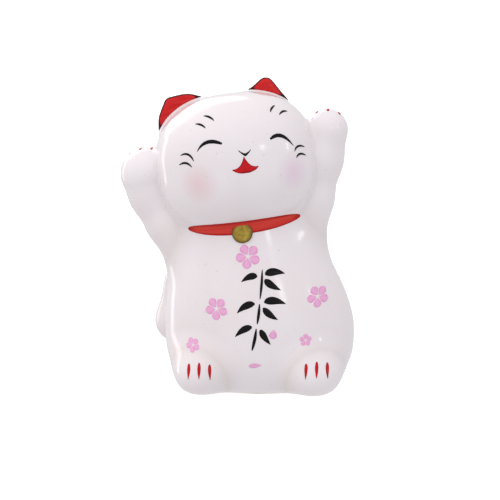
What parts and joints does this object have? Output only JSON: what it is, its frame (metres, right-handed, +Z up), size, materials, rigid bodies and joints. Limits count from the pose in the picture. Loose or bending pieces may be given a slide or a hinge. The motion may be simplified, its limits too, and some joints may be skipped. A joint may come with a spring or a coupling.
{
  "type": "beckoning cat figurine",
  "caption": "Glazed ceramic cat figurine and coin bank with closed smiling eyes and both paws raised, red collar and bell, blossoms on its belly.",
  "frame": {"origin": "bottom centre of the whole figure's box, on the surface it stands on", "axes": "+Z up, the cat faces -Y, and its own left side, with the higher paw, is +X"},
  "size_m": [0.0735, 0.0474, 0.0966],
  "materials": {
    "white_glaze": "glossy, faintly pink-white glaze",
    "bare_clay": "unglazed, matt",
    "stopper_rubber": "soft, off-white, satin",
    "red_enamel": "brushed red enamel, glossy",
    "black_enamel": "brushed black enamel, glossy",
    "pink_enamel": "pink enamel under gloss",
    "gold_lustre": "dark olive-gold lustre"
  },
  "bodies": {
    "figure": {"torso_shell": "white_glaze", "base_plate": "bare_clay", "head_shell": "white_glaze", "ear_left": "white_glaze", "ear_right": "white_glaze", "ear_lining_left": "red_enamel", "ear_lining_right": "red_enamel", "arm_left": "white_glaze", "arm_right": "white_glaze", "foot_left": "white_glaze", "foot_right": "white_glaze", "tail": "white_glaze", "collar": "red_enamel", "bell": "gold_lustre", "eye_left": "black_enamel", "eye_right": "black_enamel", "brows_left": "black_enamel", "brows_right": "black_enamel", "whiskers_left": "black_enamel", "whiskers_right": "black_enamel", "nose": "black_enamel", "mouth": "red_enamel", "foot_claws_left": "red_enamel", "foot_claws_right": "red_enamel", "paw_claws_left": "red_enamel", "paw_claws_right": "red_enamel", "blossom_chest": "pink_enamel", "blossom_left": "pink_enamel", "blossom_right": "pink_enamel", "blossom_small_left": "pink_enamel", "blossom_small_right": "pink_enamel", "loose_petals": "pink_enamel", "ink_sprig": "black_enamel"},
    "stopper": {"base_stopper": "stopper_rubber"}
  },
  "joints": [
    {"name": "stopper_pull", "type": "slide", "parent": "figure", "child": "stopper", "axis": [0, 0, -1], "range_m": [0, 0.02]}
  ]
}
